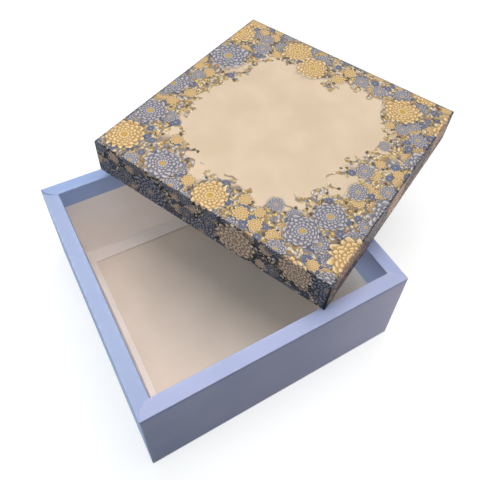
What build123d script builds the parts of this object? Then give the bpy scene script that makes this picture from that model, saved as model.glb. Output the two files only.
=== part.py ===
"""Gift hamper box: a square hollow-wall tray and its shallow telescoping lid.

Millimetres. The origin is the centre of the tray's underside, +Z is up, the tray's front
is -Y and its left is -X. The lid is off: it lies turned and tilted on the tray's rim.
"""
from build123d import *
import os

# Tray, outside
tray_side = 254.0
tray_height = 100.0
rim_width = 13.5

# Boards and papers
tray_board = 1.5
inner_board = 1.2
lid_board = 1.2
paper = 0.3
stay_paper = 0.2

# Tray: inner walls, which lean in towards the foot and fold on to the floor
foot_lean = 6.2
long_flange_edge = 35.5
short_flange_edge = 25.6
flange_seam = 0.3

# Tray: the wrap paper
turn_under = 15.0
sheet_gap = 0.5
long_turn_in = 20.0
short_turn_in = 37.0
corner_tab = 4.0

# Paper tape that holds the corners of the boards
stay_leg = 18.0

# Lid, measured square to its top
lid_fit_gap = 0.6
lid_depth = 40.0
lid_turn_in = 18.0
liner_gap = 0.5

# Lid, where it rests: its front corner stands just above the tray's front rim
lid_turn = -64.7
lid_tilt = 2.4
lid_rest_x = 42.3
lid_rest_y = -117.4
rest_gap = 0.3

# Worked out from the sizes above
half = tray_side / 2
wrap_half = half - paper
wall_half = wrap_half - tray_board
rim_in = half - rim_width
face_top = rim_in + paper
floor_low = paper
floor_top = floor_low + tray_board
rim_top = tray_height - paper
wall_top = rim_top - tray_board
flange_top = floor_top + inner_board
face_foot = rim_in - foot_lean
far = tray_side + tray_height

lid_in = half + lid_fit_gap
lid_face = lid_in + paper
lid_wall_out = lid_face + lid_board
lid_half = lid_wall_out + paper
lid_wall_top = lid_depth - paper - lid_board

SIDES = {"front": 0, "right": 90, "back": 180, "left": 270}
LONG_SIDES = ("front", "back")


def block(half_x, half_y, low, high):
    """A plain block centred on Z, from low to high."""
    return Pos(0, 0, low) * Box(2 * half_x, 2 * half_y, high - low,
                                align=(Align.CENTER, Align.CENTER, Align.MIN))


def strip(points, half_length):
    """A strip along the front side, whose section is given as (distance out, height) points."""
    section = Plane.YZ * make_face(Polyline(*[(-out, z) for out, z in points], close=True))
    return extrude(section, half_length, both=True)


def front_wedge(low, high):
    """The quarter of the plan that belongs to the front side, cut on the diagonals."""
    outline = Polyline((0, 0), (-far, -far), (far, -far), close=True)
    return Pos(0, 0, low) * extrude(make_face(outline), high - low)


def front_tab_wedge(low, high):
    """The same quarter, with a rounded tab over each of the rim's corners."""
    middle = (rim_in + half) / 2
    swell = corner_tab / 2 ** 0.5
    edges = [
        Line((0, 0), (-rim_in, -rim_in)),
        ThreePointArc((-rim_in, -rim_in), (-middle - swell, -middle + swell), (-half, -half)),
        Line((-half, -half), (half, -half)),
        ThreePointArc((half, -half), (middle + swell, -middle + swell), (rim_in, -rim_in)),
        Line((rim_in, -rim_in), (0, 0)),
    ]
    return Pos(0, 0, low) * extrude(make_face(Wire(edges)), high - low)


def face_at(z):
    """How far out the inner wall's bare face is at a height."""
    share = (wall_top - z) / (wall_top - flange_top)
    return face_top - (face_top - face_foot) * share


# Tray floor
def make_floor_board():
    return block(wrap_half, wrap_half, floor_low, floor_top)


def make_underside_sheet():
    side = half - turn_under - sheet_gap
    return block(side, side, 0, paper)


# Tray outer walls and the tape round their corners
def make_corner_stays(out, leg, low, high):
    """Four angles of paper tape, pressed flush into the boards at the corners."""
    ring = block(out, out, low, high) - block(out - stay_paper, out - stay_paper, low, high)
    middle = out - leg
    return ring - block(middle, out, low, high) - block(out, middle, low, high)


def make_outer_wall(side, stays):
    length = wrap_half if side in LONG_SIDES else wall_half
    wall = strip([(wall_half, floor_top), (wrap_half, floor_top),
                  (wrap_half, wall_top), (wall_half, wall_top)], length)
    return Rot(0, 0, SIDES[side]) * wall - stays


# Tray rim
def make_rim_board(side):
    board = strip([(face_top, wall_top), (wrap_half, wall_top),
                   (wrap_half, rim_top), (face_top, rim_top)], wrap_half)
    return Rot(0, 0, SIDES[side]) * (board & front_wedge(wall_top, rim_top))


# Tray inner walls
def make_inner_wall(side):
    """A leaning board with a fold at its foot and a flange that lies on the floor."""
    slope = (face_top - face_foot) / (wall_top - flange_top)
    thick = inner_board * (1 + slope ** 2) ** 0.5
    edge = half - (long_flange_edge if side in LONG_SIDES else short_flange_edge)
    fold_out = face_foot + thick - slope * inner_board
    wall = strip([(face_top, wall_top), (face_foot, flange_top), (edge, flange_top),
                  (edge, floor_top), (fold_out, floor_top), (face_top + thick, wall_top)], wrap_half)
    wall &= front_wedge(floor_top, wall_top)
    if side in LONG_SIDES:
        corner = strip([(edge, floor_top), (face_foot, floor_top),
                        (face_foot, flange_top), (edge, flange_top)], face_foot)
        wall += corner
    else:
        butt = half - long_flange_edge - flange_seam
        slot = block(butt, far, floor_top, flange_top)
        wall -= strip([(0, floor_top), (face_foot, floor_top),
                       (face_foot, flange_top), (0, flange_top)], far) - slot
    return Rot(0, 0, SIDES[side]) * wall


# Tray wrap paper
def make_tray_wrap(side):
    """One side's paper: turned under, up the outside, over the rim and down the inside."""
    band = tray_height - (long_turn_in if side in LONG_SIDES else short_turn_in)
    under = half - turn_under
    face_band = face_at(band)
    sheet = strip([(under, 0), (half, 0), (half, tray_height), (rim_in, tray_height),
                   (rim_in, wall_top), (face_band - paper, band), (face_band, band),
                   (face_top, wall_top), (face_top, rim_top), (wrap_half, rim_top),
                   (wrap_half, paper), (under, paper)], half)
    tab = front_tab_wedge(rim_top, tray_height)
    if side in LONG_SIDES:
        sheet &= front_wedge(0, rim_top) + tab
    else:
        beside = Rot(0, 0, 90) * tab + Rot(0, 0, -90) * tab
        sheet = (sheet & front_wedge(0, tray_height)) - beside
    return Rot(0, 0, SIDES[side]) * sheet


# Lid
def make_lid_top_board():
    return block(lid_wall_out, lid_wall_out, lid_wall_top, lid_depth - paper)


def make_lid_wall(side, stays):
    length = lid_wall_out if side in LONG_SIDES else lid_face
    wall = strip([(lid_face, paper), (lid_wall_out, paper),
                  (lid_wall_out, lid_wall_top), (lid_face, lid_wall_top)], length)
    return Rot(0, 0, SIDES[side]) * wall - stays


def make_lid_wrap():
    """The printed sheet: over the top, down the walls, round their edge and a little way up inside."""
    wrap = block(lid_half, lid_half, 0, lid_depth)
    wrap -= block(lid_wall_out, lid_wall_out, paper, lid_depth - paper)
    wrap += block(lid_face, lid_face, 0, lid_turn_in)
    return wrap - block(lid_in, lid_in, 0, lid_turn_in)


def make_lid_liner():
    side = lid_face - liner_gap
    return block(side, side, lid_wall_top - paper, lid_wall_top)


def lid_place():
    """From the lid's own frame to where it rests, set by its front corner's lower point."""
    corner = Pos(lid_rest_x, lid_rest_y, tray_height + rest_gap)
    return corner * Rot(lid_tilt, 0, 0) * Rot(0, 0, lid_turn) * Pos(-lid_half, lid_half, 0)


def make_all():
    parts = {"floor_board": make_floor_board(), "underside_sheet": make_underside_sheet()}
    tray_stays = make_corner_stays(wrap_half, stay_leg, floor_top, wall_top)
    parts["tray_corner_stays"] = tray_stays
    lid_stays = make_corner_stays(lid_wall_out, stay_leg, paper, lid_wall_top)
    place = lid_place()
    for side in SIDES:
        parts["outer_wall_" + side] = make_outer_wall(side, tray_stays)
        parts["rim_board_" + side] = make_rim_board(side)
        parts["inner_wall_" + side] = make_inner_wall(side)
        parts["tray_wrap_" + side] = make_tray_wrap(side)
        parts["lid_wall_" + side] = place * make_lid_wall(side, lid_stays)
    parts["lid_corner_stays"] = place * lid_stays
    parts["lid_top_board"] = place * make_lid_top_board()
    parts["lid_wrap"] = place * make_lid_wrap()
    parts["lid_liner"] = place * make_lid_liner()
    return parts


os.makedirs("parts", exist_ok=True)
for node, shape in make_all().items():
    export_step(shape, "parts/" + node + ".step")
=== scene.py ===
import math

import bmesh
import bpy
import numpy as np
from mathutils import Matrix, Vector


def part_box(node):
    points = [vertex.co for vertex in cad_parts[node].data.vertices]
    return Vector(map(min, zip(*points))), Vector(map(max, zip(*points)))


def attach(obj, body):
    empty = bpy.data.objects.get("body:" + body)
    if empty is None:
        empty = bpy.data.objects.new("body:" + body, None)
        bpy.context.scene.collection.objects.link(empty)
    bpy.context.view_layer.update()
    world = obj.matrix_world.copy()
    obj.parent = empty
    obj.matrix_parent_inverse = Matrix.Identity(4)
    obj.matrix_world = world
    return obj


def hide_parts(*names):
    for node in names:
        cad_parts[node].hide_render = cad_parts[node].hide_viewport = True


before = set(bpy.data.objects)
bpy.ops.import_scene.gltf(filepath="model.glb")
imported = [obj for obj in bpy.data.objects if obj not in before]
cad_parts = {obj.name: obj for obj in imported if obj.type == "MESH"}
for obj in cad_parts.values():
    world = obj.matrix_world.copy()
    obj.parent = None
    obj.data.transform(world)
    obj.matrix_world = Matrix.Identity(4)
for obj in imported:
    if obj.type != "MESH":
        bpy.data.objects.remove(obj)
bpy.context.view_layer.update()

# Floor board: the tray's base, a greyboard lined with off-white paper on its upper face.
# It is cut square and the four outer walls stand on its edges.
mm = 0.001


def ink(red, green, blue):
    """A printed colour, given as 0 to 255 display values, as linear light with full alpha."""
    display = np.array([red, green, blue]) / 255
    linear = np.where(display > 0.04045, ((display + 0.055) / 1.055) ** 2.4, display / 12.92)
    return (*linear.tolist(), 1.0)


def node(tree, kind, inputs=None, **settings):
    """Adds one node to a tree. Its inputs are sockets to join or values to set, by name or number."""
    made = tree.nodes.new(kind)
    for key, setting in settings.items():
        setattr(made, key, setting)
    for key, given in (inputs or {}).items():
        if isinstance(given, bpy.types.NodeSocket):
            tree.links.new(given, made.inputs[key])
        else:
            made.inputs[key].default_value = given
    return made


def calc(tree, operation, *given, clamp=False):
    """The result of one Math node on numbers or sockets."""
    made = node(tree, "ShaderNodeMath", dict(enumerate(given)), operation=operation, use_clamp=clamp)
    return made.outputs[0]


def blend_colours(tree, share, first, second, mode="MIX"):
    """The second colour over the first, by a share from 0 to 1."""
    made = node(tree, "ShaderNodeMix", {0: share, 6: first, 7: second}, data_type="RGBA", blend_type=mode)
    return made.outputs[2]


def smooth_step(tree, given, low, high):
    """0 below low, 1 above high, and a smooth rise between them."""
    made = node(tree, "ShaderNodeMapRange", {0: given, 1: low, 2: high}, interpolation_type="SMOOTHSTEP")
    return made.outputs[0]


def noise(tree, place, scale, detail):
    """A soft noise from 0 to 1 at a place."""
    made = node(tree, "ShaderNodeTexNoise", {"Vector": place, "Scale": scale, "Detail": detail})
    return made.outputs[0]


def new_group(name, inputs, outputs):
    """An empty shader node group with named sockets: (tree, what comes in, what goes out)."""
    tree = bpy.data.node_groups.new(name, "ShaderNodeTree")
    for direction, sockets in (("INPUT", inputs), ("OUTPUT", outputs)):
        for label, kind in sockets.items():
            tree.interface.new_socket(label, in_out=direction, socket_type="NodeSocket" + kind)
    return tree, tree.nodes.new("NodeGroupInput").outputs, tree.nodes.new("NodeGroupOutput").inputs


def use_group(tree, group, **inputs):
    """One node that holds a group, its inputs joined or set by name, with _ for a space."""
    made = tree.nodes.new("ShaderNodeGroup")
    made.node_tree = group
    for key, given in inputs.items():
        socket = made.inputs[key.replace("_", " ")]
        if isinstance(given, bpy.types.NodeSocket):
            tree.links.new(given, socket)
        else:
            socket.default_value = given
    return made.outputs


def new_material(name, roughness=0.6):
    """A material with one Principled shader: (material, its tree, the shader's inputs)."""
    material = bpy.data.materials.new(name)
    material.use_nodes = True
    tree = material.node_tree
    shader = tree.nodes["Principled BSDF"].inputs
    shader["Roughness"].default_value = roughness
    return material, tree, shader


# Paper and board share one grain: long felted fibres, fine tooth and a soft cloudiness.
grain_group, g_in, g_out = new_group(
    "paper grain",
    {"Vector": "Vector", "Fibre size": "Float", "Cloud size": "Float"},
    {"Cloud": "Float", "Fleck": "Float", "Height": "Float"})
fibre_scale = calc(grain_group, "DIVIDE", 1.0, g_in["Fibre size"])
cloud_scale = calc(grain_group, "DIVIDE", 1.0, g_in["Cloud size"])
stretch = node(grain_group, "ShaderNodeMapping", {"Vector": g_in["Vector"], "Scale": (1, 0.35, 1),
                                                  "Rotation": (0.3, 0.2, 0.5)})
fibre = node(grain_group, "ShaderNodeTexNoise", {"Vector": stretch.outputs[0], "Scale": fibre_scale,
                                                 "Detail": 4.0, "Roughness": 0.62})
tooth = noise(grain_group, g_in["Vector"], fibre_scale, 2.0)
cloud = noise(grain_group, g_in["Vector"], cloud_scale, 3.0)
grain_group.links.new(smooth_step(grain_group, cloud, 0.3, 0.7), g_out["Cloud"])
grain_group.links.new(smooth_step(grain_group, fibre.outputs[0], 0.56, 0.72), g_out["Fleck"])
grain_group.links.new(calc(grain_group, "ADD", fibre.outputs[0], tooth), g_out["Height"])


def add_bump(tree, shader, height, strength, depth):
    """Raises the surface's relief by a height that varies, of a depth in metres."""
    bump = node(tree, "ShaderNodeBump", {"Strength": strength, "Distance": depth, "Height": height})
    tree.links.new(bump.outputs[0], shader["Normal"])


def board_material(name, base, dull, fleck_colour, fleck_share, roughness):
    """Board or tape: a base colour clouded with a duller one, with darker fibres in it."""
    material, tree, shader = new_material(name, roughness)
    place = node(tree, "ShaderNodeTexCoord").outputs["Object"]
    grain = use_group(tree, grain_group, Vector=place, Fibre_size=0.9 * mm, Cloud_size=60 * mm)
    colour = blend_colours(tree, grain["Cloud"], base, dull)
    flecks = calc(tree, "MULTIPLY", grain["Fleck"], fleck_share)
    tree.links.new(blend_colours(tree, flecks, colour, fleck_colour), shader["Base Color"])
    add_bump(tree, shader, grain["Height"], 0.25, 0.12 * mm)
    return material


def dress(names, material):
    """Gives CAD nodes their finish."""
    for name in names:
        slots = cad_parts[name].data.materials
        slots.clear()
        slots.append(material)


lined_board = board_material("lined_board", ink(231, 216, 203), dull=ink(224, 209, 195),
                             fleck_colour=ink(206, 190, 176), fleck_share=0.3, roughness=0.75)
dress(["floor_board"], lined_board)

# Outer walls and rim boards: 1.5 mm greyboard, cut to size, butted at the walls' corners and
# mitred at the rim's. The wrap paper hides them.
SIDES = {"front": 0.0, "right": 90.0, "back": 180.0, "left": 270.0}
greyboard = board_material("greyboard", ink(150, 143, 134), dull=ink(136, 129, 120),
                           fleck_colour=ink(96, 90, 84), fleck_share=0.7, roughness=0.85)
dress(["outer_wall_" + side for side in SIDES], greyboard)
dress(["rim_board_" + side for side in SIDES], greyboard)

# Corner stays: gummed kraft tape that holds the boards' corners, under the wrap papers of the
# tray and of the lid.
kraft_tape = board_material("kraft_tape", ink(190, 150, 108), dull=ink(176, 136, 96),
                            fleck_colour=ink(140, 104, 70), fleck_share=0.5, roughness=0.7)
dress(["tray_corner_stays", "lid_corner_stays"], kraft_tape)

# Inner walls: off-white board that leans in from the rim, is creased at its foot and lies on the
# floor as a glued flange. The long flanges run from wall to wall and the short ones butt on them.
LONG_SIDES = ("front", "back")
tray_low, tray_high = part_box("tray_wrap_front")
half = tray_high.x
tray_height = tray_high.z
rim_low, rim_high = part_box("rim_board_front")
wall_top = rim_low.z
face_top = -rim_high.y
floor_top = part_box("floor_board")[1].z
inner_board = 1.2 * mm
flange_top = floor_top + inner_board
foot_lean = 6.5 * mm
face_foot = face_top - foot_lean
fold_radius = 1.3 * mm
fold_width = 1.5 * mm
board_corner = 0.2 * mm
flange_seam = 0.3 * mm
glue_gap = 0.05 * mm
row_spacing = 4 * mm
foot_bow = {"front": 2.0 * mm, "back": 2.6 * mm, "left": 1.2 * mm, "right": 1.6 * mm}
flange_lift = {"front": 0.4 * mm, "back": 1.3 * mm, "left": 0.5 * mm, "right": 0.3 * mm}


def rounded_path(corners, radii, spacing):
    """A path of straight runs joined by arcs, as an array of points. Each inner corner is replaced
    by an arc of its radius, and each run has points at its ends, close to them and at the spacing."""
    near_end = 0.25 * mm
    arc_shares = np.linspace(0, 1, 7)[1:-1]
    corners = [np.array(point, float) for point in corners]
    points = []
    start = corners[0]
    for index in range(1, len(corners)):
        corner = corners[index]
        along = (corner - start) / np.linalg.norm(corner - start)
        stop = corner
        arc = []
        if index < len(corners) - 1:
            onward = corners[index + 1] - corner
            onward = onward / np.linalg.norm(onward)
            turn = math.atan2(along[0] * onward[1] - along[1] * onward[0], along @ onward)
            radius = radii[index - 1]
            cut = radius * abs(math.tan(turn / 2))
            stop = corner - along * cut
            side = math.copysign(1.0, turn)
            centre = stop + np.array([-along[1], along[0]]) * side * radius
            for angle in turn * arc_shares:
                cosine, sine = math.cos(angle), math.sin(angle)
                spin = np.array([[cosine, -sine], [sine, cosine]])
                arc.append(centre + spin @ (stop - centre))
            after = corner + onward * cut
        length = np.linalg.norm(stop - start)
        count = max(int(length / spacing), 1)
        close = min(near_end, length / 3)
        steps = np.unique(np.r_[close, np.linspace(0, length, count + 1), length - close].round(9))
        points.extend(start + along * step for step in steps)
        points.extend(arc)
        if index < len(corners) - 1:
            start = after
    return np.array(points)


def offset_path(path, depth):
    """The same path moved by a depth to its left, which is into the sheet."""
    along = np.gradient(path, axis=0)
    along = along / np.linalg.norm(along, axis=1, keepdims=True)
    return path + depth * np.stack([-along[:, 1], along[:, 0]], axis=1)


# Columns along a side: straight shares from -1 to 1, close together near the ends, and then
# the turn from 0 to 45 degrees round the corner at each end.
straight = np.sin(np.linspace(-math.pi / 2, math.pi / 2, 91))
bend = np.radians(np.linspace(0, 45, 5))[1:]
share = np.r_[-np.ones(len(bend)), straight, np.ones(len(bend))]
swing = np.r_[-bend[::-1], np.zeros(len(straight)), bend]
least_radius = 0.15 * mm


def side_grid(path, corner_radius, ends=None):
    """Carries a section along one side of a rounded square. A section point at distance d runs
    straight to the corner's arc and then round it to the diagonal, where the next side begins.
    Where ends gives a length, the row stops square there instead."""
    out = path[:, :1]
    radius = np.maximum(corner_radius - (path[:, :1].max() - out), least_radius)
    x = share * (out - radius) + radius * np.sin(swing)
    y = out - radius + radius * np.cos(swing)
    if ends is not None:
        ends = ends[:, None]
        square = ~np.isnan(ends)
        flat_x = share * (ends - radius) + radius * np.sin(swing) / math.sin(math.radians(45))
        x = np.where(square, flat_x, x)
        y = np.where(square, out + 0 * y, y)
    z = path[:, 1:] + 0 * x
    return np.stack([x, -y, z], axis=-1)


def turned(points, degrees):
    """Points turned about the vertical through the origin."""
    cosine, sine = math.cos(math.radians(degrees)), math.sin(math.radians(degrees))
    return points @ np.array([[cosine, sine, 0], [-sine, cosine, 0], [0, 0, 1]])


def sheet_faces(rows, columns):
    """The faces of a closed sheet whose points are two grids of one shape: the face's, then the
    back's the other way round, and then a hem that joins the two round their edges."""
    index = np.arange(rows * columns).reshape(rows, columns)
    around = [index[:-1, :-1], index[:-1, 1:], index[1:, 1:], index[1:, :-1]]
    cells = np.stack(around, axis=-1).reshape(-1, 4)
    border = np.r_[index[0, :-1], index[:-1, -1], index[-1, :0:-1], index[:0:-1, 0]]
    onward = np.roll(border, -1)
    layer = rows * columns
    hem = np.stack([onward, border, border + layer, onward + layer], axis=-1)
    return np.concatenate([cells, cells[:, ::-1] + layer, hem])


def shell(name, face, back, body, material, slot, marks):
    """A closed sheet or board from two grids of points of one shape, joined round their edges.
    Each grid in marks, 1 on a crease and 0 away from it, is kept as an attribute for the material."""
    rows, columns = face.shape[:2]
    points = np.concatenate([face.reshape(-1, 3), back.reshape(-1, 3)])
    mesh = bpy.data.meshes.new(name)
    mesh.from_pydata(points.tolist(), [], sheet_faces(rows, columns).tolist())
    for label, grid in marks.items():
        values = np.tile(np.broadcast_to(grid, (rows, columns)).ravel(), 2)
        mesh.attributes.new(label, "FLOAT", "POINT").data.foreach_set("value", values)
    finish_mesh(mesh)
    return add_piece(name, mesh, body, material)


def finish_mesh(mesh):
    """Merges doubles, turns the faces outwards and shades the mesh smooth but for its sharp edges."""
    work = bmesh.new()
    work.from_mesh(mesh)
    bmesh.ops.remove_doubles(work, verts=work.verts, dist=0.002 * mm)
    bmesh.ops.recalc_face_normals(work, faces=work.faces)
    work.to_mesh(mesh)
    work.free()
    mesh.shade_smooth()
    mesh.set_sharp_from_angle(angle=math.radians(40))


def add_piece(name, mesh, body, material):
    """Puts a mesh in the scene as a piece of a body, with its finish."""
    mesh.materials.append(material)
    piece = bpy.data.objects.new(name, mesh)
    bpy.context.scene.collection.objects.link(piece)
    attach(piece, body)
    return piece


wall_board = board_material("wall_board", ink(243, 234, 229), dull=ink(238, 228, 222),
                            fleck_colour=ink(220, 208, 200), fleck_share=0.3, roughness=0.75)
for side, turn in SIDES.items():
    is_long = side in LONG_SIDES
    box_low, box_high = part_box("inner_wall_" + side)
    reaches = (box_low.y, box_high.y) if is_long else (box_low.x, box_high.x)
    flange_edge = min(abs(reach) for reach in reaches)
    butt_end = face_foot if is_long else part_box("inner_wall_back")[0].y - flange_seam
    section = rounded_path([(face_top, wall_top), (face_foot, flange_top), (flange_edge, flange_top)],
                           [fold_radius], row_spacing)
    behind = offset_path(section, inner_board)
    behind[:, 1] = np.maximum(behind[:, 1], floor_top + glue_gap)
    on_flange = section[:, 0] < face_foot - 0.3 * mm
    row_ends = np.where(on_flange, butt_end, np.nan)
    grids = []
    for path in (section, behind):
        grid = side_grid(path, board_corner, row_ends)
        drop = np.clip((wall_top - section[:, 1:]) / (wall_top - flange_top), 0, 1)
        middle = np.clip(1 - (grid[..., 0] / face_foot) ** 2, 0, 1)
        grid[..., 1] += foot_bow[side] * drop ** 1.6 * middle * np.where(on_flange[:, None], 0.6, 1.0)
        reach = np.clip((face_foot - section[:, :1]) / (face_foot - flange_edge), 0, 1)
        grid[..., 2] += flange_lift[side] * reach ** 2 * middle ** 2
        grids.append(turned(grid, turn))
    fold = np.exp(-np.abs(section[:, :1] - face_foot) / fold_width) * (section[:, 1:] < 2 * flange_top)
    piece = shell("inner_wall_board_" + side, *grids, "tray", wall_board, "white_board", {"fold": fold})
    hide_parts("inner_wall_" + side)

# Tray wraps: four sheets of light blue paper, one to a side. Each is turned under the floor, goes
# up the wall, over the rim and down the inner wall as a glued band. At the rim's corners the front
# and back sheets end in a rounded tab that lies over the side sheets.
paper_room = 0.3 * mm
rim_in = face_top - paper_room
rim_width = half - rim_in
edge_radius = {"front": 0.9 * mm, "back": 0.9 * mm, "left": 0.65 * mm, "right": 0.65 * mm}
corner_radius = 0.95 * mm
lip_radius = 0.6 * mm
crease_radius = 0.5 * mm
wrap_paper = 0.12 * mm
under_width = 15 * mm
band_depth = {"front": 20 * mm, "back": 20 * mm, "left": 37 * mm, "right": 37 * mm}
rim_drop = {"front": 0.02 * mm, "back": 0.02 * mm, "left": 0.16 * mm, "right": 0.16 * mm}
tab_lift = {"front": (0.35 * mm, 0.1 * mm), "back": (0.2 * mm, 0.9 * mm)}
# Strength of the painted shadow line along the tab edges of the front and back sheets.
tab_shade = {"front": 0.4, "back": 1.0}
tab_bulge = 3.2 * mm
# Width of the painted shadow line along the tab edges.
tab_shadow_width = 0.7 * mm
wall_swell = 0.1 * mm
swell_along, swell_up = 41 * mm, 33 * mm
rub_width, corner_rub = 1.1 * mm, 1.2 * mm
score_drop, score_width = 1.5 * mm, 0.8 * mm


# The wraps share one wear: pale rubbed spots along the folds, and a thin dark line where the sheet
# was scored under the rim. The same dark mark also carries a painted shadow line along the rim tabs' edges.
wear_and_shadow_group, g_in, g_out = new_group("fold wear and tab shadow", {"Vector": "Vector", "Colour": "Color", "Worn": "Color"},
                                    {"Colour": "Color"})
fold_mark = node(wear_and_shadow_group, "ShaderNodeAttribute", attribute_name="fold").outputs["Fac"]
score_and_tab_shadow_mark = node(wear_and_shadow_group, "ShaderNodeAttribute", attribute_name="score").outputs["Fac"]
rub_spots = smooth_step(wear_and_shadow_group, noise(wear_and_shadow_group, g_in["Vector"], 160.0, 3.0), 0.42, 0.68)
rub = calc(wear_and_shadow_group, "MULTIPLY", calc(wear_and_shadow_group, "MULTIPLY", fold_mark, rub_spots), 0.4)
rubbed = blend_colours(wear_and_shadow_group, rub, g_in["Colour"], g_in["Worn"])
# The score line and the painted shadow along the tabs' edges share one dark blue.
score_and_tab_shadow_share = calc(wear_and_shadow_group, "MULTIPLY", score_and_tab_shadow_mark, 0.8)
scored_and_shaded = blend_colours(wear_and_shadow_group, score_and_tab_shadow_share, rubbed, ink(112, 126, 176))
wear_and_shadow_group.links.new(scored_and_shaded, g_out["Colour"])


def paper_material(name, base, worn, cloud):
    """Wrap paper: even colour with a soft cloudiness, paler where its folds are rubbed, with a dark score
    line and a painted shadow line along the rim tabs' edges.
    """
    material, tree, shader = new_material(name, 0.6)
    shader["Specular IOR Level"].default_value = 0.14
    place = node(tree, "ShaderNodeTexCoord").outputs["Object"]
    grain = use_group(tree, grain_group, Vector=place, Fibre_size=0.7 * mm, Cloud_size=45 * mm)
    colour = blend_colours(tree, calc(tree, "MULTIPLY", grain["Cloud"], 0.6), base, cloud)
    colour = use_group(tree, wear_and_shadow_group, Vector=place, Colour=colour, Worn=worn)["Colour"]
    tree.links.new(colour, shader["Base Color"])
    rough = calc(tree, "ADD", calc(tree, "MULTIPLY", grain["Cloud"], 0.08), 0.56)
    tree.links.new(rough, shader["Roughness"])
    add_bump(tree, shader, grain["Height"], 0.2, 0.06 * mm)
    return material


# The four sheets are one paper. Each side's base, worn and cloud colours differ only to paint the light and
# shade that side gets.
blue_paper = {
    "front": paper_material("blue_paper_front", ink(182, 187, 220), ink(212, 218, 238), ink(174, 182, 216)),
    "back": paper_material("blue_paper_back", ink(161, 179, 218), ink(206, 216, 238), ink(155, 174, 215)),
    "left": paper_material("blue_paper_left", ink(168, 179, 212), ink(206, 216, 238), ink(163, 175, 209)),
    "right": paper_material("blue_paper_right", ink(176, 185, 220), ink(212, 218, 238), ink(170, 180, 217)),
}

for side, turn in SIDES.items():
    rim_top = tray_height - rim_drop[side]
    band = tray_height - band_depth[side]
    lean = foot_lean * (wall_top - band) / (wall_top - flange_top)
    section = rounded_path([(half - under_width, 0), (half, 0), (half, rim_top), (rim_in, rim_top),
                            (rim_in, wall_top), (rim_in - lean, band)],
                           [edge_radius[side], edge_radius[side], lip_radius, crease_radius], row_spacing)
    behind = offset_path(section, wrap_paper)
    on_rim = (section[:, 1] > rim_top - 0.01 * mm) & (section[:, 0] > rim_in)
    reach = np.sqrt(np.clip(rim_width ** 2 - (half - section[:, 0]) ** 2, 0, None))
    tab_end = np.minimum(rim_in + reach, half - 0.6 * edge_radius[side])
    row_ends = np.where(on_rim, tab_end, np.nan) if side in LONG_SIDES else None
    bends = section[:, None] - np.array([(half, 0), (half, rim_top), (rim_in, rim_top)])
    fold = np.exp(-(np.linalg.norm(bends, axis=2).min(axis=1, keepdims=True) / rub_width) ** 2)
    grids = []
    for path in (section, behind):
        grid = side_grid(path, corner_radius, row_ends)
        grid_ends = grid[..., 0].copy()
        swell = np.sin(grid[..., 0] / swell_along + 1.3) * np.sin(section[:, 1:] / swell_up)
        on_wall = (section[:, 0] > half - 0.01 * mm)[:, None]
        grid[..., 1] += np.where(on_wall, wall_swell * (1 + swell), 0.0) * np.clip(1 - share ** 8, 0, 1)
        if side in LONG_SIDES:
            hump = np.sin(math.pi * np.clip((half - section[:, :1]) / rim_width, 0, 1)) ** 2
            for lift, sign in zip(tab_lift[side], (-1, 1)):
                gap = tab_end[:, None] - sign * grid[..., 0]
                bulge = lift * hump * np.exp(-(gap / tab_bulge) ** 2)
                grid[..., 2] += np.where(on_rim[:, None], bulge, 0)
        grids.append(turned(grid, turn))
    corner_fold = np.exp(-((1 - np.abs(share)) * half / corner_rub) ** 2)[None, :]
    fold = np.maximum(fold, corner_fold * (section[:, 1:] < rim_top - 0.5 * mm))
    from_score = rim_top - score_drop - section[:, 1:]
    score = np.exp(-(from_score / score_width) ** 2) * (section[:, :1] > half - paper_room)
    # Painted shadow: a dark line along each tab's edge, where its lifted edge meets the side sheet.
    if side in LONG_SIDES:
        tab_gap = tab_end[:, None] - np.abs(grid_ends)
        tab_shadow_line = tab_shade[side] * on_rim[:, None] * np.exp(-(tab_gap / tab_shadow_width) ** 2)
        score = np.maximum(score, tab_shadow_line)
    marks = {"fold": fold, "score": score}
    piece = shell("tray_wrap_paper_" + side, *grids, "tray", blue_paper[side], "blue_paper", marks)
    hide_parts("tray_wrap_" + side)

# Underside sheet: matt white paper glued under the floor, over the wraps' turned edges.
white_paper = board_material("white_paper", ink(222, 220, 214), dull=ink(214, 211, 204),
                             fleck_colour=ink(196, 192, 184), fleck_share=0.25, roughness=0.8)
dress(["underside_sheet", "lid_liner"], white_paper)

# Lid boards: the top board lies on four wall boards, all 1.2 mm, lined off-white.
dress(["lid_top_board"] + ["lid_wall_" + side for side in SIDES], lined_board)

# Lid wrap: one printed sheet over the top and down the walls, turned round their lower edge and
# glued 18 mm up inside. At each corner of the front and back walls a folded flap overlaps.
lid_turn = -64.7
lid_tilt = 2.4
rest_gap = 0.3 * mm
lid_corner = np.array([42.3 * mm, -117.4 * mm, tray_height + rest_gap])
lid_half = 129.4 * mm
lid_in = 127.6 * mm
lid_depth = 40 * mm
lid_turn_in = 18 * mm
print_inset = 0.16 * mm
flap_width = 16 * mm


def on_lid(points):
    """From the lid's own frame, centred at its lower edge, to where it rests on the tray's rim."""
    moved = turned(points + np.array([-lid_half, lid_half, 0]), lid_turn)
    cosine, sine = math.cos(math.radians(lid_tilt)), math.sin(math.radians(lid_tilt))
    return moved @ np.array([[1, 0, 0], [0, cosine, sine], [0, -sine, cosine]]) + lid_corner


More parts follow.
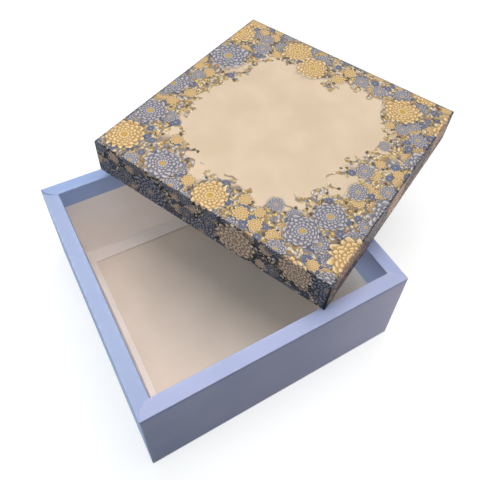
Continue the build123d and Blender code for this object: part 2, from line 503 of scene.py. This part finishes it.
def printed_shell(parts):
    """One mesh from (face grid, back grid, unfolded grid, seam shadow grid) parts. The unfolded place of
    each point on the flat sheet, in metres, goes into the UV map that the print follows. The seam shadow
    grid, 1 where painted shadow fills an open corner seam, becomes an attribute."""
    points, faces, flat, seam_shadows = [], [], [], []
    base = 0
    for face, back, sheet, seam_shadow in parts:
        rows, columns = face.shape[:2]
        points.extend([face.reshape(-1, 3), back.reshape(-1, 3)])
        faces.append(sheet_faces(rows, columns) + base)
        flat.extend([sheet.reshape(-1, 2)] * 2)
        seam_shadows.extend([np.broadcast_to(seam_shadow, (rows, columns)).ravel()] * 2)
        base += 2 * rows * columns
    mesh = bpy.data.meshes.new("lid_wrap_paper")
    mesh.from_pydata(np.concatenate(points).tolist(), [], np.concatenate(faces).tolist())
    corner_point = np.empty(len(mesh.loops), np.int32)
    mesh.loops.foreach_get("vertex_index", corner_point)
    flat_map = mesh.uv_layers.new(name="sheet")
    flat_map.data.foreach_set("uv", np.concatenate(flat)[corner_point].ravel())
    mesh.attributes.new("seam_shadow", "FLOAT", "POINT").data.foreach_set("value", np.concatenate(seam_shadows))
    return mesh


lid_fold = 0.38 * mm
lid_paper = 0.1 * mm
outer = lid_half - print_inset
lid_top = lid_depth - print_inset
section = rounded_path([(lid_in, lid_turn_in), (lid_in, lid_paper), (outer, lid_paper),
                        (outer, lid_top), (0, lid_top)], [lid_fold] * 3, 6 * mm)
behind = offset_path(section, lid_paper)
behind[-1, 0] = 0
steps = np.linalg.norm(np.diff(section, axis=0), axis=1)
unfolded = np.r_[np.cumsum(steps[::-1])[::-1], 0]
parts = []
# How far each wall's corner seams stand open at its two ends, from 0 to 1. The open seams are drawn
# as painted shadow, not as gaps in the sheet.
SEAM_SHADOW = {"front": (0.35, 1.0), "right": (1.0, 0.3), "back": (0.3, 0.3), "left": (0.3, 0.35)}
seam_shadow_gain = 1.8
for side, turn in SIDES.items():
    grids = [side_grid(path, lid_fold) for path in (section, behind)]
    along = grids[0][..., 0]
    sheet = np.stack([along, -unfolded[:, None] + 0 * along, 0 * along], axis=-1)
    on_skirt_rows = (section[:, :1] > outer - 0.3 * mm) & (section[:, 1:] < lid_depth - 2 * mm)
    # Painted shadow fills each open corner seam on the wall, wider and darker where the seam stands more
    # open.
    gap_shadow = 0
    for from_end, shadow_share in zip((1 + share, 1 - share), SEAM_SHADOW[side]):
        gap_shadow_width = (0.6 + 1.2 * shadow_share) * mm
        gap_shadow = gap_shadow + seam_shadow_gain * shadow_share * np.exp(-(from_end * outer / gap_shadow_width) ** 2)
    seam_shadow = on_skirt_rows * np.clip(gap_shadow, 0, 1)[None, :]
    parts.append((*[on_lid(turned(grid, turn)) for grid in grids], turned(sheet, turn)[..., :2], seam_shadow))

# Each flap is a triangle that widens upwards. Its columns are closest together at its two edges.
flap_rows = np.linspace(0.03, 1, 14)
flap_columns = 0.5 - 0.5 * np.cos(np.linspace(0, math.pi, 17))
up, across = np.meshgrid(flap_rows, flap_columns, indexing="ij")
flap_low = 1.0 * mm
flap_rise = lid_depth - 2.2 * mm
flap_paper = 0.05 * mm
flap_lip = 0.09 * mm
flap_shadow_width = 0.7 * mm
for side, turn in (("front", 0), ("back", 180)):
    for sign, shadow_share in zip((-1, 1), SEAM_SHADOW[side]):
        from_corner = across * up * flap_width
        x = sign * (outer - lid_paper - from_corner)
        z = flap_low + up * flap_rise
        lip = flap_paper + flap_lip * across
        face = np.stack([x, -(outer + lip), z], axis=-1)
        back = np.stack([x, -(outer + lip - flap_paper), z], axis=-1)
        sheet = np.stack([x, z - outer - lid_depth, 0 * x], axis=-1)
        # Painted shadow: dark at the seam where the flap leaves the corner, and a dark line along the
        # flap's free edge.
        gap_shadow_width = (0.8 + 1.5 * shadow_share * (1 - up)) * mm
        gap_shadow = np.clip(seam_shadow_gain * shadow_share * np.exp(-(from_corner / gap_shadow_width) ** 2), 0, 1)
        flap_edge_shadow = 0.85 * np.exp(-((1 - across) * up * flap_width / flap_shadow_width) ** 2)
        parts.append((*[on_lid(turned(grid, turn)) for grid in (face, back)], turned(sheet, turn)[..., :2],
                      np.maximum(gap_shadow, flap_edge_shadow)))
lid_mesh = printed_shell(parts)
finish_mesh(lid_mesh)

# The print's ornament is common leaf and rosette work, scattered as a wreath round a plain field.
# Each scatter draws one motif in every cell of a Voronoi pattern, at the cell's centre.
ring_group, g_in, g_out = new_group(
    "petal ring",
    {"Radius": "Float", "Angle": "Float", "Reach": "Float", "Inner": "Float", "Petals": "Float",
     "Phase": "Float"},
    {"Mask": "Float", "Shade": "Float"})
notch = 0.22
petals_round = calc(ring_group, "MULTIPLY", g_in["Angle"], g_in["Petals"])
half_turn = calc(ring_group, "MULTIPLY_ADD", petals_round, 0.5, g_in["Phase"])
lobe = calc(ring_group, "ABSOLUTE", calc(ring_group, "COSINE", half_turn))
blunt = calc(ring_group, "POWER", lobe, 0.6)
tip = calc(ring_group, "MULTIPLY", g_in["Reach"], calc(ring_group, "MULTIPLY_ADD", blunt, notch, 1 - notch))
gap = calc(ring_group, "SUBTRACT", tip, g_in["Radius"])
mask = calc(ring_group, "MULTIPLY", gap, 30.0, clamp=True)
rise = calc(ring_group, "DIVIDE", calc(ring_group, "SUBTRACT", g_in["Radius"], g_in["Inner"]),
            calc(ring_group, "SUBTRACT", g_in["Reach"], g_in["Inner"]), clamp=True)
cleft = smooth_step(ring_group, lobe, 0.0, 0.55)
rim_line = smooth_step(ring_group, gap, 0.0, 0.05)
shade = calc(ring_group, "MULTIPLY", calc(ring_group, "MULTIPLY_ADD", rise, 0.8, 0.2),
             calc(ring_group, "MULTIPLY_ADD", cleft, 0.6, 0.4))
shade = calc(ring_group, "MULTIPLY", shade, calc(ring_group, "MULTIPLY_ADD", rim_line, 0.5, 0.5))
ring_group.links.new(mask, g_out["Mask"])
ring_group.links.new(shade, g_out["Shade"])


def vector_calc(tree, operation, *given):
    """The result of one Vector Math node on vectors or sockets."""
    return node(tree, "ShaderNodeVectorMath", dict(enumerate(given)), operation=operation).outputs[0]


def place_in_cells(tree, inputs):
    """The place on the sheet counted in cells, moved by the seed."""
    in_cells = vector_calc(tree, "DIVIDE", inputs["Vector"], inputs["Cell"])
    return vector_calc(tree, "ADD", in_cells, inputs["Seed"])


def cell_pattern(tree, place, randomness, feature):
    """One reading of the flat Voronoi pattern."""
    return node(tree, "ShaderNodeTexVoronoi", {"Vector": place, "Scale": 1.0, "Randomness": randomness},
                voronoi_dimensions="2D", feature=feature).outputs


def nearest_cell(tree, inputs, place, randomness):
    """The nearest cell's own frame: (offset from its centre, two random numbers, centre in metres)."""
    cell = cell_pattern(tree, place, randomness, "F1")
    offset = vector_calc(tree, "SUBTRACT", place, cell["Position"])
    picks = node(tree, "ShaderNodeSeparateColor", {0: cell["Color"]}).outputs
    back = vector_calc(tree, "SUBTRACT", cell["Position"], inputs["Seed"])
    return offset, picks[0], picks[1], vector_calc(tree, "MULTIPLY", back, inputs["Cell"])


SCATTER_INPUTS = {"Vector": "Vector", "Cell": "Vector", "Seed": "Vector", "Size": "Float"}
rosette_group, g_in, g_out = new_group(
    "rosette scatter", {**SCATTER_INPUTS, "Petals": "Float"},
    {"Mask": "Float", "Shade": "Float", "Heart": "Float", "Halo": "Float", "Pick": "Float",
     "Centre": "Vector"})
disorder = 0.62
place = place_in_cells(rosette_group, g_in)
offset, pick, pick_size, centre = nearest_cell(rosette_group, g_in, place, disorder)
room = cell_pattern(rosette_group, place, disorder, "N_SPHERE_RADIUS")["Radius"]
axes = node(rosette_group, "ShaderNodeSeparateXYZ", {0: offset})
length = node(rosette_group, "ShaderNodeVectorMath", {0: offset}, operation="LENGTH").outputs["Value"]
unlike = calc(rosette_group, "MULTIPLY_ADD", pick_size, 0.35, 0.75)
most = calc(rosette_group, "MULTIPLY", room, 1.08)
size = calc(rosette_group, "MINIMUM", calc(rosette_group, "MULTIPLY", g_in["Size"], unlike), most)
full_turn = 6.28
angle = calc(rosette_group, "ADD", calc(rosette_group, "ARCTAN2", axes.outputs[1], axes.outputs[0]),
             calc(rosette_group, "MULTIPLY", pick, full_turn))
wobble = noise(rosette_group, g_in["Vector"], 130.0, 1.0)
angle = calc(rosette_group, "ADD", angle, calc(rosette_group, "MULTIPLY", wobble, 0.5))
radius = calc(rosette_group, "DIVIDE", length, size)
uneven = calc(rosette_group, "MULTIPLY_ADD", wobble, 0.5, 0.75)
radius = calc(rosette_group, "MULTIPLY", radius, uneven)
mask, shade = None, None
reaches = (1.0, 0.8, 0.61, 0.44, 0.29, 0.12)
for level, (ring_reach, ring_inner) in enumerate(zip(reaches, reaches[1:])):
    petals = calc(rosette_group, "SUBTRACT", g_in["Petals"], 2.0 * (level // 3))
    ring = use_group(rosette_group, ring_group, Radius=radius, Angle=angle, Reach=ring_reach,
                     Inner=ring_inner, Phase=math.pi / 2 * (level % 2), Petals=petals)
    if mask is None:
        mask, shade = ring["Mask"], ring["Shade"]
    else:
        below = calc(rosette_group, "MULTIPLY", shade, calc(rosette_group, "SUBTRACT", 1.0, ring["Mask"]))
        above = calc(rosette_group, "MULTIPLY", ring["Shade"], ring["Mask"])
        shade = calc(rosette_group, "ADD", below, above)
rosette_group.links.new(mask, g_out["Mask"])
rosette_group.links.new(shade, g_out["Shade"])
for label, low, high in (("Heart", 0.13, 0.19), ("Halo", 0.85, 1.3)):
    beyond = smooth_step(rosette_group, radius, low, high)
    rosette_group.links.new(calc(rosette_group, "SUBTRACT", 1.0, beyond), g_out[label])
rosette_group.links.new(pick, g_out["Pick"])
rosette_group.links.new(centre, g_out["Centre"])

leaf_group, g_in, g_out = new_group(
    "leaf scatter", {**SCATTER_INPUTS, "Slim": "Float"},
    {"Mask": "Float", "Shade": "Float", "Pick": "Float", "Centre": "Vector"})
place = place_in_cells(leaf_group, g_in)
offset, pick, pick_turn, centre = nearest_cell(leaf_group, g_in, place, 0.9)
axes = node(leaf_group, "ShaderNodeSeparateXYZ", {0: offset})
angle = calc(leaf_group, "MULTIPLY", pick_turn, full_turn)
cosine = calc(leaf_group, "COSINE", angle)
sine = calc(leaf_group, "SINE", angle)
along = calc(leaf_group, "ADD", calc(leaf_group, "MULTIPLY", axes.outputs[0], cosine),
             calc(leaf_group, "MULTIPLY", axes.outputs[1], sine))
aside = calc(leaf_group, "SUBTRACT", calc(leaf_group, "MULTIPLY", axes.outputs[1], cosine),
             calc(leaf_group, "MULTIPLY", axes.outputs[0], sine))
curve = calc(leaf_group, "MULTIPLY", calc(leaf_group, "MULTIPLY", along, along), 0.5)
aside = calc(leaf_group, "ABSOLUTE", calc(leaf_group, "SUBTRACT", aside, curve))
reach = calc(leaf_group, "DIVIDE", along, g_in["Size"])
taper = calc(leaf_group, "SUBTRACT", 1.0, calc(leaf_group, "MULTIPLY", reach, reach), clamp=True)
width = calc(leaf_group, "MULTIPLY", calc(leaf_group, "MULTIPLY", g_in["Size"], g_in["Slim"]), taper)
inside = calc(leaf_group, "SUBTRACT", width, aside)
leaf_group.links.new(calc(leaf_group, "MULTIPLY", inside, 40.0, clamp=True), g_out["Mask"])
cross = calc(leaf_group, "DIVIDE", aside, calc(leaf_group, "ADD", width, 0.001), clamp=True)
dark_edge = calc(leaf_group, "MULTIPLY", calc(leaf_group, "MULTIPLY", cross, cross), 0.75)
pale_tip = calc(leaf_group, "MULTIPLY_ADD", reach, 0.3, 0.85)
leaf_shade = calc(leaf_group, "MULTIPLY", calc(leaf_group, "SUBTRACT", 1.2, dark_edge), pale_tip)
leaf_group.links.new(leaf_shade, g_out["Shade"])
leaf_group.links.new(pick, g_out["Pick"])
leaf_group.links.new(centre, g_out["Centre"])

# Where the ornament grows: densest at the sheet's edges and none in the field. A superellipse of
# the place, bent by noise, gives the field its soft outline, and fine branching lines lead into it.
growth_group, g_in, g_out = new_group("growth", {"Vector": "Vector", "Field": "Float", "Soft": "Float"},
                                      {"Density": "Float"})
squareness = 3.0
drift_reach = 90 * mm
axes = node(growth_group, "ShaderNodeSeparateXYZ", {0: g_in["Vector"]})
sides = [calc(growth_group, "ABSOLUTE", axis) for axis in axes.outputs[:2]]
powers = [calc(growth_group, "POWER", side, squareness) for side in sides]
round_square = calc(growth_group, "POWER", calc(growth_group, "ADD", *powers), 1 / squareness)
drift = noise(growth_group, g_in["Vector"], 20.0, 2.0)
place = calc(growth_group, "MULTIPLY_ADD", drift, drift_reach, round_square)
lead = calc(growth_group, "SUBTRACT", place, g_in["Field"])
spread = calc(growth_group, "DIVIDE", lead, g_in["Soft"], clamp=True)
veins = noise(growth_group, g_in["Vector"], 42.0, 2.0)
branch = calc(growth_group, "ABSOLUTE", calc(growth_group, "SUBTRACT", veins, 0.5))
branch = calc(growth_group, "SUBTRACT", 1.0, calc(growth_group, "MULTIPLY", branch, 13.0), clamp=True)
branch = calc(growth_group, "MULTIPLY", branch, smooth_step(growth_group, spread, 0.0, 0.12))
growth_group.links.new(calc(growth_group, "MULTIPLY_ADD", branch, 0.5, spread), g_out["Density"])


def colour_ramp(tree, given, stops, interpolation="LINEAR"):
    """A colour picked along a list of (place, colour) stops."""
    made = node(tree, "ShaderNodeValToRGB", {0: given})
    made.color_ramp.interpolation = interpolation
    elements = made.color_ramp.elements
    while len(elements) < len(stops):
        elements.new(0.5)
    for element, (at, colour) in zip(elements, stops):
        element.position = at
        element.color = colour
    return made.outputs[0]


printed_paper, tree, shader = new_material("printed_paper", 0.4)
shader["Specular IOR Level"].default_value = 0.12
sheet_place = node(tree, "ShaderNodeUVMap", uv_map="sheet").outputs[0]
object_place = node(tree, "ShaderNodeTexCoord").outputs["Object"]
grain = use_group(tree, grain_group, Vector=object_place, Fibre_size=0.8 * mm, Cloud_size=38 * mm)
axes = node(tree, "ShaderNodeSeparateXYZ", {0: sheet_place})
rim_place = calc(tree, "MAXIMUM", *[calc(tree, "ABSOLUTE", axis) for axis in axes.outputs[:2]])
on_skirt = smooth_step(tree, rim_place, lid_half - 2.4 * mm, lid_half - 0.6 * mm)
field = blend_colours(tree, grain["Cloud"], ink(232, 206, 178), ink(224, 198, 168))
thicket = use_group(tree, growth_group, Vector=sheet_place, Field=124 * mm, Soft=44 * mm)["Density"]
thicket = smooth_step(tree, thicket, 0.3, 0.62)
field = blend_colours(tree, calc(tree, "MULTIPLY", thicket, 0.85), field, ink(134, 114, 96))
# On the walls the ground turns dark: partly the walls' darker print and partly painted shade.
ground = blend_colours(tree, on_skirt, field, ink(84, 78, 78))

LEAF_INKS = [(0.0, ink(216, 182, 120)), (0.2, ink(238, 216, 180)), (0.36, ink(150, 146, 152)),
             (0.5, ink(184, 146, 86)), (0.64, ink(106, 92, 82)), (0.76, ink(214, 204, 198)),
             (0.88, ink(232, 198, 134))]
print_colour = ground
# Each row gives a leaf's cell in millimetres, its half length in cells, its width for its length,
# the scatter's seed, and the plain field's edge and soft border in millimetres.
LEAVES = (
    (4.6, 0.52, 0.62, (3.1, 7.7, 0), 124, 44),
    (3.9, 0.52, 0.6, (11.4, 2.2, 0), 126, 44),
    (5.4, 0.5, 0.55, (23.7, 8.6, 0), 128, 44),
)


def grown(tree, motif, field_edge, soft, rarity, spread):
    """1 where a motif's own centre lies where the ornament grows, and 0 elsewhere."""
    growth = use_group(tree, growth_group, Vector=motif["Centre"], Field=field_edge * mm, Soft=soft * mm)
    needed = calc(tree, "MULTIPLY_ADD", motif["Pick"], spread, rarity)
    return calc(tree, "GREATER_THAN", growth["Density"], needed)


def second_pick(tree, motif, factor):
    """Another random number from 0 to 1 for the same motif."""
    return calc(tree, "FRACT", calc(tree, "MULTIPLY", motif["Pick"], factor))


for cell, size, slim, seed, field_edge, soft in LEAVES:
    leaf = use_group(tree, leaf_group, Vector=sheet_place, Cell=(cell * mm,) * 3, Seed=seed, Size=size,
                     Slim=slim)
    kept = grown(tree, leaf, field_edge, soft, 0.3, 0.28)
    colour = colour_ramp(tree, second_pick(tree, leaf, 7.3), LEAF_INKS, "CONSTANT")
    colour = blend_colours(tree, 1.0, colour, leaf["Shade"], "MULTIPLY")
    print_colour = blend_colours(tree, calc(tree, "MULTIPLY", leaf["Mask"], kept), print_colour, colour)

SLATE_PETALS = [(0.0, ink(80, 74, 82)), (0.35, ink(144, 138, 144)), (0.65, ink(196, 190, 194)),
                (1.0, ink(242, 234, 230))]
BLUE_PETALS = [(0.0, ink(44, 46, 70)), (0.35, ink(92, 100, 132)), (0.65, ink(150, 154, 172)),
               (1.0, ink(222, 218, 216))]
CREAM_PETALS = [(0.0, ink(146, 102, 60)), (0.35, ink(214, 174, 118)), (0.65, ink(240, 210, 160)),
                (1.0, ink(254, 236, 200))]
# Each row gives a flower's cell in millimetres, its radius in cells, its petals, the scatter's seed,
# the plain field's edge and soft border in millimetres, its inks (None: some slate, some cream) and
# how rare it is.
FLOWERS = (
    (14.0, 0.36, 7.0, (4.3, 9.1, 0), 128, 34, BLUE_PETALS, 0.45),
    (19.0, 0.38, 9.0, (8.8, 21.5, 0), 124, 36, CREAM_PETALS, 0.6),
    (24.0, 0.42, 11.0, (14.2, 3.7, 0), 124, 36, SLATE_PETALS, 0.45),
    (50.0, 0.42, 15.0, (7.6, 12.4, 0), 132, 16, None, 0.3),
)
for cell, size, petals, seed, field_edge, soft, petal_inks, rarity in FLOWERS:
    flower = use_group(tree, rosette_group, Vector=sheet_place, Cell=(cell * mm,) * 3, Seed=seed, Size=size,
                       Petals=petals)
    kept = grown(tree, flower, field_edge, soft, rarity, 0.7)
    shadow = calc(tree, "MULTIPLY", calc(tree, "MULTIPLY", flower["Halo"], kept), 0.5)
    print_colour = blend_colours(tree, shadow, print_colour, ink(84, 74, 70))
    if petal_inks:
        petal_colour = colour_ramp(tree, flower["Shade"], petal_inks)
    else:
        is_cream = calc(tree, "GREATER_THAN", second_pick(tree, flower, 5.7), 0.66)
        petal_colour = blend_colours(tree, is_cream, colour_ramp(tree, flower["Shade"], SLATE_PETALS),
                                     colour_ramp(tree, flower["Shade"], CREAM_PETALS))
    petal_colour = blend_colours(tree, flower["Heart"], petal_colour, ink(204, 164, 84))
    drawn = calc(tree, "MULTIPLY", flower["Mask"], kept)
    print_colour = blend_colours(tree, drawn, print_colour, petal_colour)

# On the walls the print is made darker, duller and cooler than on the top: partly the walls' own darker
# print and partly painted shade.
skirt_print_and_shade = node(tree, "ShaderNodeGamma", {"Color": print_colour, "Gamma": 1.9}).outputs[0]
skirt_print_and_shade = node(tree, "ShaderNodeHueSaturation", {"Color": skirt_print_and_shade, "Saturation": 0.66}).outputs[0]
skirt_print_and_shade = blend_colours(tree, 1.0, skirt_print_and_shade, ink(224, 228, 240), "MULTIPLY")
print_colour = blend_colours(tree, on_skirt, print_colour, skirt_print_and_shade)
# Painted shadow: near-black in the open corner seams and along the flaps' edges.
seam_shadow_mark = node(tree, "ShaderNodeAttribute", attribute_name="seam_shadow").outputs["Fac"]
print_colour = blend_colours(tree, seam_shadow_mark, print_colour, ink(8, 8, 10))
tree.links.new(print_colour, shader["Base Color"])
tree.links.new(calc(tree, "MULTIPLY_ADD", grain["Cloud"], 0.1, 0.44), shader["Roughness"])
add_bump(tree, shader, grain["Height"], 0.12, 0.05 * mm)

lid_wrap = add_piece("lid_wrap_paper", lid_mesh, "lid", printed_paper)
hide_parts("lid_wrap")

# Stage: a plain pale floor, which the camera sees as white and which keeps the box's shadow.
def rays_seen(tree):
    """1 for rays that show the background: the camera's own, reflections and what glass lets through."""
    rays = node(tree, "ShaderNodeLightPath").outputs
    return calc(tree, "MAXIMUM", rays["Is Camera Ray"],
                calc(tree, "MAXIMUM", rays["Is Glossy Ray"], rays["Is Transmission Ray"]))


floor_mesh = bpy.data.meshes.new("floor")
floor_reach = 6.0
floor_level = -0.3 * mm
floor_mesh.from_pydata([(-floor_reach, -floor_reach, floor_level), (floor_reach, -floor_reach, floor_level),
                        (floor_reach, floor_reach, floor_level), (-floor_reach, floor_reach, floor_level)],
                       [], [(0, 1, 2, 3)])
floor_material = bpy.data.materials.new("floor")
floor_material.use_nodes = True
tree = floor_material.node_tree
tree.nodes.clear()
seen = rays_seen(tree)
plain = node(tree, "ShaderNodeBsdfDiffuse", {"Color": (0.15, 0.145, 0.135, 1)})
pale = node(tree, "ShaderNodeBsdfDiffuse", {"Color": (0.4, 0.4, 0.4, 1)})
glow = node(tree, "ShaderNodeEmission", {"Color": (1, 1, 1, 1), "Strength": 0.66})
white = node(tree, "ShaderNodeAddShader", {0: pale.outputs[0], 1: glow.outputs[0]})
mixed = node(tree, "ShaderNodeMixShader", {0: seen, 1: plain.outputs[0], 2: white.outputs[0]})
node(tree, "ShaderNodeOutputMaterial", {"Surface": mixed.outputs[0]})
floor_mesh.materials.append(floor_material)
floor = bpy.data.objects.new("floor", floor_mesh)
bpy.context.scene.collection.objects.link(floor)

# Light: a broad soft lamp nearly overhead, weaker cool ones from the left and the front, a small
# warm glow low at the right, a soft beam into the tray and a faint even sky.
sky = bpy.data.worlds.new("sky")
sky.use_nodes = True
tree = sky.node_tree
tree.nodes.clear()
seen = rays_seen(tree)
strength = calc(tree, "MULTIPLY_ADD", seen, 0.89, 0.11)
tint = blend_colours(tree, seen, (0.55, 0.85, 1.0, 1), (1, 1, 1, 1))
background = node(tree, "ShaderNodeBackground", {"Color": tint, "Strength": strength})
node(tree, "ShaderNodeOutputWorld", {"Surface": background.outputs[0]})
bpy.context.scene.world = sky


def soft_sun(name, azimuth, height, strength, spread, colour):
    """A distant soft lamp, by the compass side it shines from, its height and its spread in degrees."""
    lamp = bpy.data.lights.new(name, "SUN")
    lamp.energy = strength
    lamp.angle = math.radians(spread)
    lamp.color = colour
    around, above = math.radians(azimuth), math.radians(height)
    flat = math.cos(above)
    toward = Vector((flat * math.cos(around), flat * math.sin(around), math.sin(above)))
    sun = bpy.data.objects.new(name, lamp)
    sun.rotation_mode = "QUATERNION"
    sun.rotation_quaternion = toward.to_track_quat("Z", "Y")
    bpy.context.scene.collection.objects.link(sun)


def near_lamp(lamp, place, target):
    """Puts a lamp near the box and points it at a target."""
    place = Vector(place)
    facing = (place - Vector(target)).to_track_quat("Z", "Y").to_matrix().to_4x4()
    holder = bpy.data.objects.new(lamp.name, lamp)
    holder.matrix_world = Matrix.Translation(place) @ facing
    bpy.context.scene.collection.objects.link(holder)


soft_sun("overhead", azimuth=42, height=78, strength=2.29, spread=52, colour=(1.0, 0.966, 0.96))
soft_sun("front_right", azimuth=308, height=30, strength=0.13, spread=30, colour=(0.85, 0.93, 1.0))
soft_sun("high_left", azimuth=190, height=50, strength=0.6, spread=46, colour=(0.85, 0.96, 1.0))
soft_sun("low_left", azimuth=172, height=10, strength=1.4, spread=30, colour=(0.7, 0.92, 1.0))

glow_lamp = bpy.data.lights.new("right_front", "AREA")
glow_lamp.energy = 0.52
glow_lamp.size = 0.16
glow_lamp.color = (1.0, 0.82, 0.66)
near_lamp(glow_lamp, place=(0.32, -0.25, 0.04), target=(0.06, -0.127, 0.04))

spot = bpy.data.lights.new("into_box", "SPOT")
spot.energy = 4.5
spot.spot_size = math.radians(22)
spot.spot_blend = 1.0
spot.shadow_soft_size = 0.06
spot.color = (1.0, 0.96, 0.92)
near_lamp(spot, place=(-0.1, -0.5, 0.5), target=(-0.09, 0.1, 0.06))

# Camera: the photograph's own, from the left and above, with the frame's centre off the lens axis.
photo_size = 480
focal_pixels = 553.3
axis_right, axis_up = 26.0, 55.0
camera_place = Vector((-135.77 * mm, -282.36 * mm, 515.56 * mm))
view_direction = Vector((0.37016, 0.55681, -0.7436)).normalized()
view_up = Vector((0.34929, 0.6583, 0.66681))
camera_data = bpy.data.cameras.new("camera")
camera_data.sensor_width = 36.0
camera_data.lens = camera_data.sensor_width * focal_pixels / photo_size
camera_data.shift_x = -axis_right / photo_size
camera_data.shift_y = -axis_up / photo_size
camera_data.clip_start = 0.02
camera_data.clip_end = 20.0
camera = bpy.data.objects.new("camera", camera_data)
side_way = view_direction.cross(view_up).normalized()
level = side_way.cross(view_direction)
facing = Matrix((side_way, level, -view_direction)).transposed()
camera.matrix_world = Matrix.Translation(camera_place) @ facing.to_4x4()
bpy.context.scene.collection.objects.link(camera)
bpy.context.scene.camera = camera
bpy.context.scene.view_settings.view_transform = "Standard"
